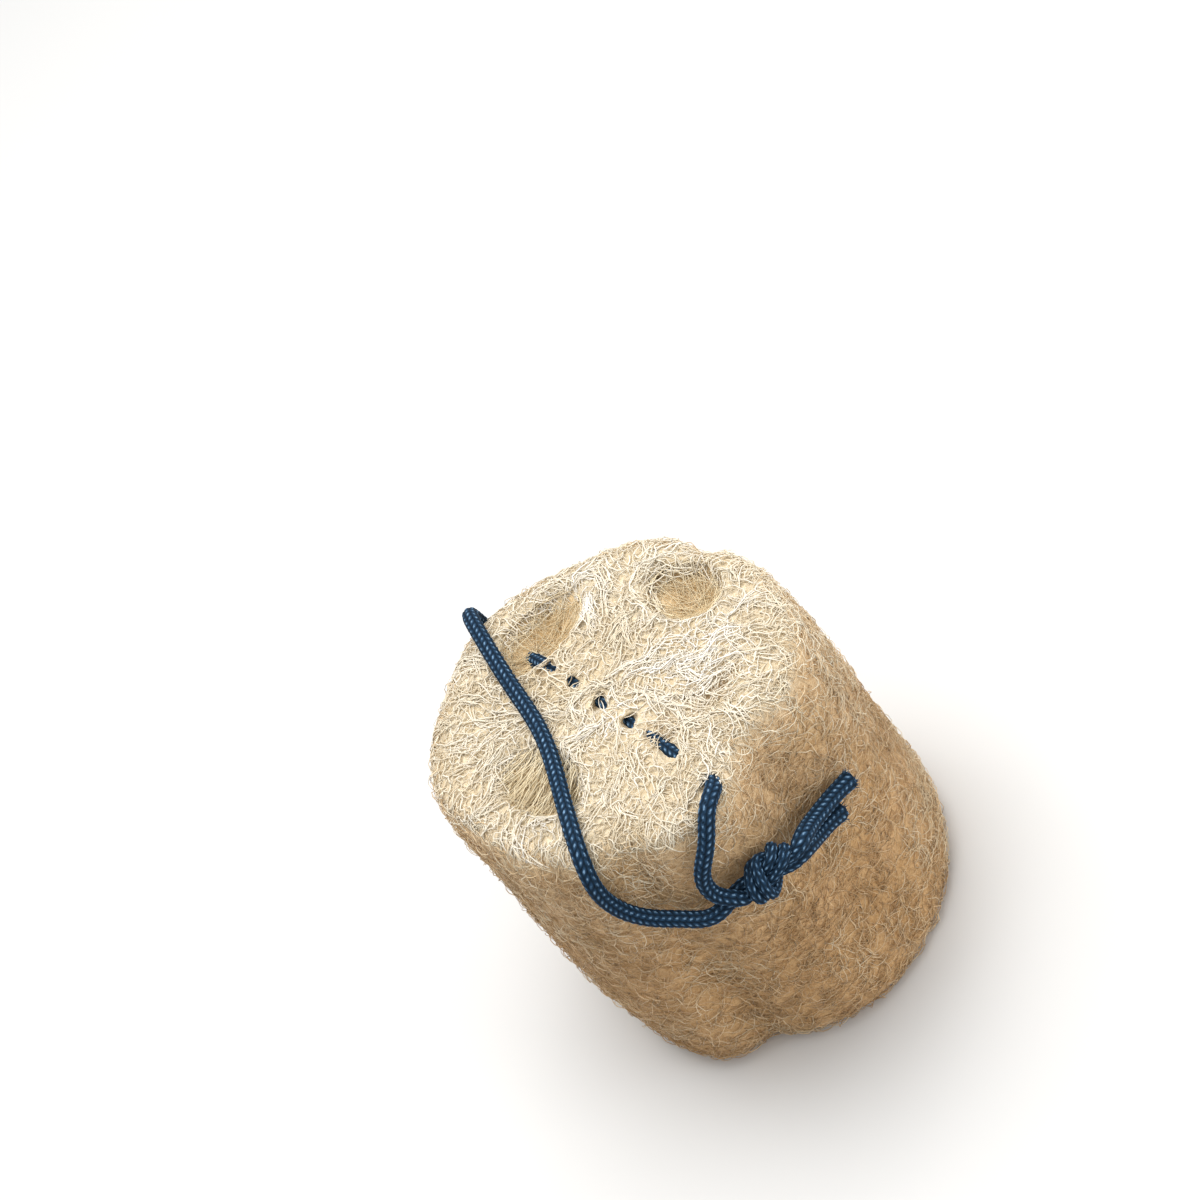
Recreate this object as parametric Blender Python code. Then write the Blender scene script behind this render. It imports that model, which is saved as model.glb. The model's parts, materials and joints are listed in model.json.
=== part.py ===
# Natural loofah sponge on a braided hanging cord.
# One cut length of dried loofah fibre stands on a cut end, and one cord is threaded through it near the
# upper cut face, brought over the back rim and the face, and tied to itself in a doubled overhand knot.
# The origin is under the middle of the sponge, on the surface it stands on, and +Z is the gourd's axis.

import math

import bmesh
import bpy
import numpy as np

MM = 0.001

# Driving dimensions of the sponge, in millimetres and degrees
HEIGHT = 104.0
RADIUS = 51.3
RIM_POWER = 14.0
LEFT_BULGE = 2.2
RIGHT_BULGE = 1.2
BASE_SPREAD = 2.4

# Long hollows in the side wall: compass angle, depth at the cut face, depth at the base, half width
WALL_HOLLOWS = (
    (30, 3.5, 2.0, 7),
    (71, 1.5, 1.0, 14),
    (186, 1.8, 1.0, 16),
    (242, 3.2, 3.8, 9),
    (296, 10.0, 1.0, 16),
)
WALL_LOBE = (112, 3.2, 18)
# Swells of the side wall: compass angle, height, half width, and where up the wall (0 to 1) and how far
WALL_SWELLS = (
    (95, 2.0, 45, 1.0, 0.45),
    (160, 4.5, 30, 0.95, 0.45),
    (205, 2.0, 30, 0.3, 0.4),
    (226, 3.0, 16, 0.0, 0.3),
    (290, 5.0, 32, 0.0, 0.25),
    (340, 1.0, 30, 0.1, 0.4),
)

# The raised net: cells across and up each side of the cube that the body is shaped from, and how far
# the middles of the cells lie below the ridges around them
CELLS_ACROSS = 14
CELLS_UP = 16
NET_DEPTH = 2.8
NET_DEPTH_SPREAD = 0.6
NET_JITTER = 0.034
BASE_TRIM = 2.0

# Seed channels that run right through: centre, half sizes, turn
CHANNELS = (
    ("channel_back", (-6.5, 33.5), (12.0, 6.5), 12),
    ("channel_right", (31.0, 14.0), (8.5, 6.5), 115),
    ("channel_left", (-28.5, -9.0), (10.0, 6.5), 105),
)
CHANNEL_SIDES = 14
CHANNEL_RINGS = 12
CHANNEL_FLARE = 2.2
MOUTH_SINK = 4.0

# Blind pockets in the cut face: centre, half sizes, depth
POCKETS = (
    ("pocket_cord", (4.6, -19.5), (4.2, 5.0), 16.0),
    ("pocket_right", (20.0, -18.5), (7.0, 5.0), 6.0),
)

# Thick strands that arch round the channels on the cut face
STRAND_COUNT = 22
STRAND_RADIUS = 0.85
STRAND_POINTS = 8
STRAND_SEED = 11

# The cord
CORD_RADIUS = 2.25
KNOT_CORD_RADIUS = 1.2
KNOT_SCALE = 0.86
CORD_GAP = 0.3
CORD_MAX_STEP = 13.5
CORD_MAX_TURN = 0.62

# The cord's route outside the knot, in millimetres, as points chosen by hand.
# It starts at the longer tail, passes the knot, climbs to the right hole, crosses inside the sponge to
# the back wall, comes over the back rim and the cut face, goes down the front to the knot and its tail.
LONG_TAIL = ((34.4, -40.6, 66.4), (29.4, -43.0, 68.4), (24.0, -46.4, 70.8), (18.6, -50.4, 73.6))
SHORT_RISE = (
    (-7.6, -57.8, 79.2),
    (-10.2, -56.2, 82.0),
    (-10.8, -54.8, 86.4),
    (-8.8, -54.4, 91.4),
    (-4.2, -53.8, 96.8),
    (1.6, -50.8, 101.4),
)
INSIDE = ((6.6, -42.4, 102.4), (7.4, -33.0, 100.2), (3.8, -18.6, 98.8), (-2.0, 1.2, 97.6), (-8.6, 25.4, 95.4))
BACK_TURN = (
    (-13.0, 41.6, 92.8),
    (-15.8, 52.4, 91.6),
    (-17.0, 57.0, 95.4),
    (-17.6, 56.6, 100.6),
    (-18.0, 52.4, 104.8),
)
OVER_FACE = (
    (-18.6, 43.0, 106.8),
    (-19.8, 22.0, 106.4),
    (-21.0, 0.0, 106.4),
    (-25.4, -18.0, 106.4),
    (-29.2, -31.6, 106.0),
    (-31.4, -38.0, 103.4),
)
DOWN_FRONT = (
    (-32.9, -41.2, 98.6),
    (-33.2, -42.4, 91.4),
    (-31.2, -44.0, 84.2),
    (-26.8, -46.8, 78.8),
    (-21.2, -50.6, 75.2),
    (-14.4, -55.2, 73.2),
)
SHORT_TAIL = ((17.4, -50.8, 68.8), (22.4, -47.0, 65.6), (27.4, -43.8, 62.4))

# The knot: its middle, the direction of the cord through it, the direction out of the wall, and its
# two strands in its own frame (along the cord, out of the wall, across), on the half millimetre
KNOT_MIDDLE = (3.6, -57.0, 77.4)
KNOT_ALONG = (0.94, 0.26, -0.18)
KNOT_OUT = (0.08, -1.0, 0.0)
UPPER_STRAND = (
    (-9.5, -1.0, -2.5),
    (-5.5, -0.5, -2.0),
    (-2.5, 2.0, -0.5),
    (1.0, 3.0, 1.5),
    (4.5, 3.0, 4.0),
    (7.5, 0.0, 3.0),
    (7.0, -2.0, -0.5),
    (5.0, -2.5, -4.0),
    (2.0, -0.5, -5.5),
    (-1.0, 2.5, -4.0),
    (-4.0, 4.5, -2.5),
    (-5.0, 4.0, 1.0),
    (-4.0, 1.0, 4.0),
    (-1.5, -2.0, 5.0),
    (2.0, -2.0, 3.0),
    (4.5, 0.5, 1.0),
    (8.0, 2.0, 0.0),
    (12.0, 2.0, -1.0),
)
LOWER_STRAND = (
    (-10.0, -4.5, -2.0),
    (-6.0, -4.0, -1.0),
    (-2.5, -2.0, 0.0),
    (-0.5, 0.5, 3.0),
    (2.5, 0.5, 5.5),
    (5.0, -2.5, 4.5),
    (4.5, -4.0, 0.5),
    (2.5, -4.5, -3.0),
    (-1.0, -2.0, -4.0),
    (-4.0, 0.5, -5.0),
    (-7.0, 2.5, -3.0),
    (-7.5, 1.0, 1.0),
    (-5.0, -2.0, 2.5),
    (-1.5, -4.5, 2.0),
    (1.0, -2.5, -0.5),
    (3.5, 0.0, -2.5),
    (7.5, 1.0, -3.5),
    (11.5, 1.0, -4.5),
)


def clear_scene():
    for item in list(bpy.data.objects):
        bpy.data.objects.remove(item, do_unlink=True)


def make_collection(name):
    group = bpy.data.collections.new(name)
    bpy.context.scene.collection.children.link(group)
    return group


def make_material(name, colour, roughness):
    material = bpy.data.materials.new(name)
    material.use_nodes = True
    shader = material.node_tree.nodes["Principled BSDF"]
    shader.inputs["Base Color"].default_value = (*colour, 1.0)
    shader.inputs["Roughness"].default_value = roughness
    shader.inputs["Metallic"].default_value = 0.0
    material.diffuse_color = (*colour, 1.0)
    return material


def add_object(name, mesh, group):
    item = bpy.data.objects.new(name, mesh)
    group.objects.link(item)
    return item


# Shape of the sponge


def wall_radius(angle, rise):
    # angle in degrees; rise is 0 at the base and 1 at the cut face
    radius = np.full_like(angle, RADIUS)
    for centre, depth_top, depth_base, half_width in WALL_HOLLOWS:
        turn = (angle - centre + 180) % 360 - 180
        depth = depth_base + (depth_top - depth_base) * rise**1.3
        radius -= depth * np.exp(-((turn / half_width) ** 2))
    turn = (angle - WALL_LOBE[0] + 180) % 360 - 180
    radius += WALL_LOBE[1] * np.exp(-((turn / WALL_LOBE[2]) ** 2))
    belly = np.sin(math.pi * np.clip(rise, 0, 1))
    side = 0.5 - 0.5 * np.cos(np.radians(angle))
    radius += belly * (RIGHT_BULGE + (LEFT_BULGE - RIGHT_BULGE) * side)
    turn = (angle - 325 + 180) % 360 - 180
    radius += BASE_SPREAD * (1 - rise) * np.exp(-((turn / 45) ** 2))
    for centre, height, half_width, middle, reach in WALL_SWELLS:
        turn = (angle - centre + 180) % 360 - 180
        radius += height * np.exp(-((turn / half_width) ** 2) - ((rise - middle) / reach) ** 2)
    radius += 0.7 * np.sin(np.radians(3 * angle + 40) + 5 * rise) * np.sin(6.5 * rise + 0.6)
    return radius


def ellipse_reach(x, y, centre, half, turn):
    # 1 on the edge of the turned ellipse, less inside, more outside
    c, s = math.cos(math.radians(turn)), math.sin(math.radians(turn))
    dx, dy = x - centre[0], y - centre[1]
    return np.hypot((c * dx + s * dy) / half[0], (-s * dx + c * dy) / half[1])


def face_relief(x, y):
    # how far the cut face stands above its mean level
    relief = 0.8 * np.cos(x / 11 + 0.7) * np.cos(y / 13)
    for name, centre, half, turn in CHANNELS:
        reach = np.maximum(ellipse_reach(x, y, centre, half, turn), 1.0)
        relief = relief - MOUTH_SINK * np.exp(-(((reach - 1) / 0.3) ** 2))
        relief = relief + 1.1 * np.exp(-(((reach - 1.65) / 0.25) ** 2))
    for name, centre, half, depth in POCKETS:
        reach = np.maximum(ellipse_reach(x, y, centre, half, 0), 1.0)
        relief = relief - 1.6 * np.exp(-(((reach - 1) / 0.35) ** 2))
    return relief


def face_height(x, y):
    # level of the cut face, with its rounded rim
    angle = np.degrees(np.arctan2(y, x)) % 360
    rho = np.clip(np.hypot(x, y) / wall_radius(angle, np.ones_like(x)), 0, 0.98)
    level = (1 - rho**RIM_POWER) ** (1 / RIM_POWER)
    inner = np.clip((0.93 - rho) / 0.12, 0, 1)
    return (HEIGHT + BASE_TRIM) / 2 * (1 + level) - BASE_TRIM + face_relief(x, y) * inner


def shape_body(cube, sunk):
    # cube holds points on a cube of half side 1; sunk is how far each lies below the net's ridges
    x, y, z = cube.T
    u = x * np.sqrt(1 - y**2 / 2)
    v = y * np.sqrt(1 - x**2 / 2)
    reach = np.hypot(u, v)
    angle = np.degrees(np.arctan2(v, u)) % 360
    squeeze = (reach**RIM_POWER + np.abs(z) ** RIM_POWER) ** (-1 / RIM_POWER)
    rho, level = reach * squeeze, z * squeeze
    rise = (level + 1) / 2
    side = rho ** (RIM_POWER - 1)
    end = np.sign(level) * np.abs(level) ** (RIM_POWER - 1)
    length = np.maximum(np.hypot(side, end), 1e-6)
    radius = rho * wall_radius(angle, rise) - sunk * side / length
    px = radius * np.cos(np.radians(angle))
    py = radius * np.sin(np.radians(angle))
    inner = np.clip((0.93 - rho) / 0.12, 0, 1)
    relief = face_relief(px, py) * inner * np.clip(end, 0, 1)
    pz = (HEIGHT + BASE_TRIM) / 2 * (1 + level) - BASE_TRIM - sunk * end / length + relief
    return np.stack([px, py, pz], axis=1)


def make_body(group, material):
    rng = np.random.default_rng(3)
    shell = bmesh.new()
    bmesh.ops.create_cube(shell, size=2)
    upright = [edge for edge in shell.edges if abs(edge.verts[0].co.z - edge.verts[1].co.z) > 1]
    bmesh.ops.subdivide_edges(shell, edges=upright, cuts=CELLS_UP - 1)
    level = [edge for edge in shell.edges if abs(edge.verts[0].co.z - edge.verts[1].co.z) < 0.001]
    bmesh.ops.subdivide_edges(shell, edges=level, cuts=CELLS_ACROSS - 1, use_grid_fill=True)
    corners = len(shell.verts)
    bmesh.ops.poke(shell, faces=shell.faces[:])
    shell.verts.ensure_lookup_table()
    cube = np.array([vertex.co[:] for vertex in shell.verts])
    loose = np.abs(cube) < 0.999
    cube += rng.uniform(-NET_JITTER, NET_JITTER, cube.shape) * loose
    sunk = rng.uniform(0, 0.4, len(cube))
    sunk[corners:] = NET_DEPTH + rng.uniform(-NET_DEPTH_SPREAD, NET_DEPTH_SPREAD, len(cube) - corners)
    sunk[cube[:, 2] < -0.999] *= 0.4
    for vertex, place in zip(shell.verts, shape_body(cube, sunk)):
        vertex.co = place * MM
    mesh = bpy.data.meshes.new("loofah")
    shell.to_mesh(mesh)
    shell.free()
    mesh.materials.append(material)
    return add_object("loofah", mesh, group)


# Cutters and joined strands


def smooth_route(points, steps=12):
    # a natural cubic spline through the points, measured by the distance between them
    points = np.asarray(points, dtype=float)
    count = len(points)
    span = np.linalg.norm(np.diff(points, axis=0), axis=1)
    slope = np.diff(points, axis=0) / span[:, None]
    system = np.eye(count)
    target = np.zeros((count, 3))
    for i in range(1, count - 1):
        system[i, i - 1 : i + 2] = span[i - 1], 2 * (span[i - 1] + span[i]), span[i]
        target[i] = 6 * (slope[i] - slope[i - 1])
    bend = np.linalg.solve(system, target)
    pieces = []
    for i in range(count - 1):
        t = np.linspace(0, span[i], steps, endpoint=False)[:, None]
        start = slope[i] - span[i] * (2 * bend[i] + bend[i + 1]) / 6
        twist = (bend[i + 1] - bend[i]) / (6 * span[i])
        pieces.append(points[i] + start * t + bend[i] / 2 * t**2 + twist * t**3)
    return np.vstack(pieces + [points[-1:]])


def thin_route(route, values):
    # keeps points so that no step is longer than CORD_MAX_STEP or turns more than CORD_MAX_TURN
    step = np.linalg.norm(np.diff(route, axis=0), axis=1)
    heading = np.diff(route, axis=0) / step[:, None]
    turn = np.arccos(np.clip(np.sum(heading[1:] * heading[:-1], axis=1), -1, 1))
    turn = np.concatenate([[0], (turn[:-1] + turn[1:]) / 2, [0]])
    cost = np.maximum(step[: len(turn)] / CORD_MAX_STEP, turn / CORD_MAX_TURN)
    along = np.concatenate([[0], np.cumsum(cost), [np.sum(cost) + 1e-3]])[: len(route)]
    wanted = np.linspace(0, along[-1], int(math.ceil(along[-1])) + 1)
    columns = np.column_stack([route, values])
    return np.stack([np.interp(wanted, along, columns[:, k]) for k in range(4)], axis=1)


def tube_mesh(name, points, radii, resolution):
    line = bpy.data.curves.new(name, "CURVE")
    line.dimensions = "3D"
    line.bevel_depth = MM
    line.bevel_resolution = resolution
    line.use_fill_caps = True
    spline = line.splines.new("POLY")
    spline.points.add(len(points) - 1)
    for place, point, radius in zip(spline.points, points, radii):
        place.co = (*(np.asarray(point) * MM), 1.0)
        place.radius = radius
    item = bpy.data.objects.new(name, line)
    bpy.context.scene.collection.objects.link(item)
    bpy.context.view_layer.update()
    evaluated = item.evaluated_get(bpy.context.evaluated_depsgraph_get())
    mesh = bpy.data.meshes.new_from_object(evaluated)
    mesh.name = name
    bpy.data.objects.remove(item, do_unlink=True)
    welded = bmesh.new()
    welded.from_mesh(mesh)
    bmesh.ops.remove_doubles(welded, verts=welded.verts[:], dist=0.00001)
    bmesh.ops.recalc_face_normals(welded, faces=welded.faces[:])
    welded.to_mesh(mesh)
    welded.free()
    return mesh


def make_channel(name, centre, half, turn, group):
    # a wobbling oval tube through the whole height, wider at both mouths
    rng = np.random.default_rng(len(name))
    pipe = bmesh.new()
    bmesh.ops.create_cone(
        pipe, cap_ends=True, segments=CHANNEL_SIDES, radius1=1, radius2=1, depth=2
    )
    upright = [edge for edge in pipe.edges if abs(edge.verts[0].co.z - edge.verts[1].co.z) > 1]
    bmesh.ops.subdivide_edges(pipe, edges=upright, cuts=CHANNEL_RINGS)
    sway = rng.uniform(0, 6.28, 4)
    c, s = math.cos(math.radians(turn)), math.sin(math.radians(turn))
    for vertex in pipe.verts:
        level = HEIGHT / 2 + vertex.co.z * (HEIGHT / 2 + 8)
        mouth = math.exp(-(((HEIGHT - level) / 7) ** 2)) + 0.6 * math.exp(-((level / 6) ** 2))
        around = math.atan2(vertex.co.y, vertex.co.x)
        rough = 0.5 * math.sin(3 * around + level / 6 + sway[0]) + 0.35 * math.sin(5 * around - level / 4)
        across = (half[0] + CHANNEL_FLARE * mouth + rough) * math.cos(around)
        up = (half[1] + CHANNEL_FLARE * mouth + rough) * math.sin(around)
        drift_x = 0.9 * math.sin(level / 19 + sway[1])
        drift_y = 0.9 * math.sin(level / 23 + sway[2])
        x = centre[0] + c * across - s * up + drift_x
        y = centre[1] + s * across + c * up + drift_y
        vertex.co = (x * MM, y * MM, level * MM)
    mesh = bpy.data.meshes.new(name)
    pipe.to_mesh(mesh)
    pipe.free()
    return add_object(name, mesh, group)


def make_pocket(name, centre, half, depth, group):
    bpy.ops.mesh.primitive_uv_sphere_add(segments=12, ring_count=8, radius=1)
    item = bpy.context.object
    item.name = name
    item.location = (centre[0] * MM, centre[1] * MM, (HEIGHT + 1) * MM)
    item.scale = (half[0] * MM, half[1] * MM, (depth + 1) * MM)
    for holder in list(item.users_collection):
        holder.objects.unlink(item)
    group.objects.link(item)
    return item


def make_strands(group):
    rng = np.random.default_rng(STRAND_SEED)
    made = 0
    while made < STRAND_COUNT:
        name, centre, half, turn = CHANNELS[made % len(CHANNELS)]
        reach = rng.uniform(1.2, 2.1)
        begin = rng.uniform(0, 2 * math.pi)
        sweep = rng.uniform(1.3, 2.6)
        around = np.linspace(begin, begin + sweep, STRAND_POINTS)
        swell = reach + 0.12 * np.sin(3 * around + made)
        c, s = math.cos(math.radians(turn)), math.sin(math.radians(turn))
        across, up = half[0] * swell * np.cos(around), half[1] * swell * np.sin(around)
        x = centre[0] + c * across - s * up
        y = centre[1] + s * across + c * up
        inside = np.hypot(x, y) < 0.84 * RADIUS
        if inside.sum() < 5 or np.diff(np.flatnonzero(inside)).max() > 1:
            made += 1
            continue
        x, y = x[inside], y[inside]
        ends = np.zeros(len(x))
        ends[[0, -1]] = 2.6
        z = face_height(x, y) + 0.3 - ends
        thick = np.full(len(x), STRAND_RADIUS * rng.uniform(0.85, 1.2))
        add_object(f"strand_{made}", tube_mesh(f"strand_{made}", np.stack([x, y, z], 1), thick, 0), group)
        made += 1


def is_closed(mesh):
    probe = bmesh.new()
    probe.from_mesh(mesh)
    closed = all(len(edge.link_faces) == 2 for edge in probe.edges)
    probe.free()
    return closed


def triangulate(mesh):
    split = bmesh.new()
    split.from_mesh(mesh)
    bmesh.ops.triangulate(split, faces=split.faces[:])
    split.to_mesh(mesh)
    split.free()


def boolean(target, operation, item=None, group=None):
    # EXACT first, and MANIFOLD where its result isn't closed
    step = target.modifiers.new(operation, "BOOLEAN")
    step.operation = operation
    if group is not None:
        step.operand_type = "COLLECTION"
        step.collection = group
    else:
        step.object = item
    for solver in ("EXACT", "MANIFOLD"):
        step.solver = solver
        bpy.context.view_layer.update()
        evaluated = target.evaluated_get(bpy.context.evaluated_depsgraph_get())
        mesh = bpy.data.meshes.new_from_object(evaluated)
        triangulate(mesh)
        if is_closed(mesh):
            break
    target.modifiers.remove(step)
    old = target.data
    target.data = mesh
    bpy.data.meshes.remove(old)
    name = item.name if item else group.name
    print(operation, name, solver, "closed", is_closed(mesh), len(mesh.polygons))


def empty_collection(group):
    for item in list(group.objects):
        bpy.data.objects.remove(item, do_unlink=True)


def keep_largest(target):
    # drops loose scraps that the cuts leave behind
    shell = bmesh.new()
    shell.from_mesh(target.data)
    bmesh.ops.remove_doubles(shell, verts=shell.verts[:], dist=0.000001)
    bmesh.ops.triangulate(shell, faces=shell.faces[:])
    left = set(shell.verts)
    islands = []
    while left:
        start = left.pop()
        island, queue = {start}, [start]
        while queue:
            vertex = queue.pop()
            for edge in vertex.link_edges:
                other = edge.other_vert(vertex)
                if other in left:
                    left.discard(other)
                    island.add(other)
                    queue.append(other)
        islands.append(island)
    islands.sort(key=len)
    scraps = [vertex for island in islands[:-1] for vertex in island]
    bmesh.ops.delete(shell, geom=scraps, context="VERTS")
    shell.to_mesh(target.data)
    shell.free()


# The cord


def knot_strand(local):
    along = np.array(KNOT_ALONG) / np.linalg.norm(KNOT_ALONG)
    out = np.array(KNOT_OUT) - np.dot(KNOT_OUT, along) * along
    out /= np.linalg.norm(out)
    across = np.cross(along, out)
    across *= np.sign(across[2])
    return np.array(KNOT_MIDDLE) + KNOT_SCALE * np.array(local) @ np.stack([along, out, across])


def cord_route():
    upper, lower = knot_strand(UPPER_STRAND), knot_strand(LOWER_STRAND)
    first = [LONG_TAIL, upper[::-1], SHORT_RISE, INSIDE, BACK_TURN]
    second = [OVER_FACE, DOWN_FRONT, lower, SHORT_TAIL]
    dense = smooth_route(np.vstack([np.array(piece) for piece in first + second]))
    apart = np.linalg.norm(dense - np.array(KNOT_MIDDLE), axis=1)
    blend = np.clip((apart - 10.0) / 8.0, 0, 1)
    return dense, KNOT_CORD_RADIUS + (CORD_RADIUS - KNOT_CORD_RADIUS) * blend


def make_cord(group, material):
    dense, radii = cord_route()
    thinned = thin_route(dense, radii)
    mesh = tube_mesh("cord", thinned[:, :3], thinned[:, 3], 2)
    mesh.materials.append(material)
    cord = add_object("cord", mesh, group)
    print("cord points", len(thinned))
    return cord, thinned


def make_cord_cutter(thinned, group):
    # the same line, thicker by the gap, without the knot and its tails
    plain = np.flatnonzero(thinned[:, 3] > KNOT_CORD_RADIUS + 0.6)
    jumps = np.flatnonzero(np.diff(plain) > 1)
    loop = plain[jumps[0] + 1 : jumps[-1] + 1]
    line = thinned[loop]
    mesh = tube_mesh("cord_way", line[:, :3], line[:, 3] + CORD_GAP, 2)
    return add_object("cord_way", mesh, group)


def main():
    clear_scene()
    parts = make_collection("loofah_sponge")
    cutters = make_collection("cutters")
    strands = make_collection("strands")
    fibre = make_material("loofah_fibre", (0.72, 0.58, 0.38), 0.85)
    braid = make_material("navy_braid", (0.02, 0.06, 0.16), 0.7)

    body = make_body(parts, fibre)
    make_strands(strands)
    boolean(body, "UNION", group=strands)
    empty_collection(strands)
    bpy.data.collections.remove(strands)

    for name, centre, half, turn in CHANNELS:
        boolean(body, "DIFFERENCE", item=make_channel(name, centre, half, turn, cutters))
    for name, centre, half, depth in POCKETS:
        boolean(body, "DIFFERENCE", item=make_pocket(name, centre, half, depth, cutters))
    cord, thinned = make_cord(parts, braid)
    boolean(body, "DIFFERENCE", item=make_cord_cutter(thinned, cutters))

    bpy.ops.mesh.primitive_cube_add(size=2, location=(0, 0, -0.05))
    ground = bpy.context.object
    ground.name = "ground"
    ground.scale = (0.08, 0.08, 0.05)
    for holder in list(ground.users_collection):
        holder.objects.unlink(ground)
    cutters.objects.link(ground)
    boolean(body, "DIFFERENCE", item=ground)
    keep_largest(body)

    for item in cutters.objects:
        item.hide_render = True
        item.display_type = "WIRE"
    cord.data.shade_smooth()
    corners = np.array([vertex.co[:] for vertex in body.data.vertices]) / MM
    print("sponge closed", is_closed(body.data), len(body.data.polygons))
    print("sponge box", corners.min(0).round(2), corners.max(0).round(2))


main()
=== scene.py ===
# A natural loofah sponge with its navy hanging cord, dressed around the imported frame.
# Lengths in the dictionaries are millimetres, and angles are degrees, unless a note says otherwise.
import json
import math

import bmesh
import bpy
import numpy as np
from mathutils import Matrix, Vector
from mathutils.geometry import delaunay_2d_cdt

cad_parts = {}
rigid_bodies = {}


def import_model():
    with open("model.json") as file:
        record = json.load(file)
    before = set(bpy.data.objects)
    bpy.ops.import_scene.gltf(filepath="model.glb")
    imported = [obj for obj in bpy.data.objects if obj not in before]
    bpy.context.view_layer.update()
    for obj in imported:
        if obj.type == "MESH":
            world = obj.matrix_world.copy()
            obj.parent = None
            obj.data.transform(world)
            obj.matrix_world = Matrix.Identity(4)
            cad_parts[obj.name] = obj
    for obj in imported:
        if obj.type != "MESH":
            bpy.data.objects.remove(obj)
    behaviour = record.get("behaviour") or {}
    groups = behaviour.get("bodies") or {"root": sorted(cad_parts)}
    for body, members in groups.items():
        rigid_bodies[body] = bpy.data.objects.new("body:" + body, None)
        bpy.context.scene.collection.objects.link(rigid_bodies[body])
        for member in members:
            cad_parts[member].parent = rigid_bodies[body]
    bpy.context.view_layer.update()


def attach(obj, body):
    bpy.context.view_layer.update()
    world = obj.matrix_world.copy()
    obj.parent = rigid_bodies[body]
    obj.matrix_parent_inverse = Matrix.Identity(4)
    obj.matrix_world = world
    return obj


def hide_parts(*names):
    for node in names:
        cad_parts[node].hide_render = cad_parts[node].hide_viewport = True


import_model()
mm = 0.001

# The sponge's own form, as in the part
form = {
    "height": 104.0,
    "radius": 51.3,
    "rim": 14.0,
    "trim": 2.0,
    "leftBulge": 2.2,
    "rightBulge": 1.2,
    "baseSpread": 2.4,
    # angle, depth at the cut face and at the base, half width
    "hollows": (
        (30, 3.5, 2.0, 7), (71, 1.5, 1.0, 14), (186, 1.8, 1.0, 16), (242, 3.2, 3.8, 9), (296, 10.0, 1.0, 16),
    ),
    # angle, height, half width, middle and reach as shares of the height
    "swells": (
        (95, 2.0, 45, 1.0, 0.45), (160, 4.5, 30, 0.95, 0.45), (205, 2.0, 30, 0.3, 0.4),
        (226, 3.0, 16, 0.0, 0.3), (290, 5.0, 32, 0.0, 0.25), (340, 1.0, 30, 0.1, 0.4),
    ),
    "lobe": (112, 3.2, 18),
    "mouthSink": 4.0,
    "flare": 2.2,
}
channels = {
    "channel_back": {"centre": (-6.5, 33.5), "half": (12.0, 6.5), "turn": 12},
    "channel_right": {"centre": (31.0, 14.0), "half": (8.5, 6.5), "turn": 115},
    "channel_left": {"centre": (-28.5, -9.0), "half": (10.0, 6.5), "turn": 105},
}
pockets = {
    "pocket_cord": {"centre": (4.6, -19.5), "half": (4.2, 5.0), "depth": 5.0},
    "pocket_right": {"centre": (20.0, -18.5), "half": (7.0, 5.0), "depth": 6.0},
}

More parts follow.
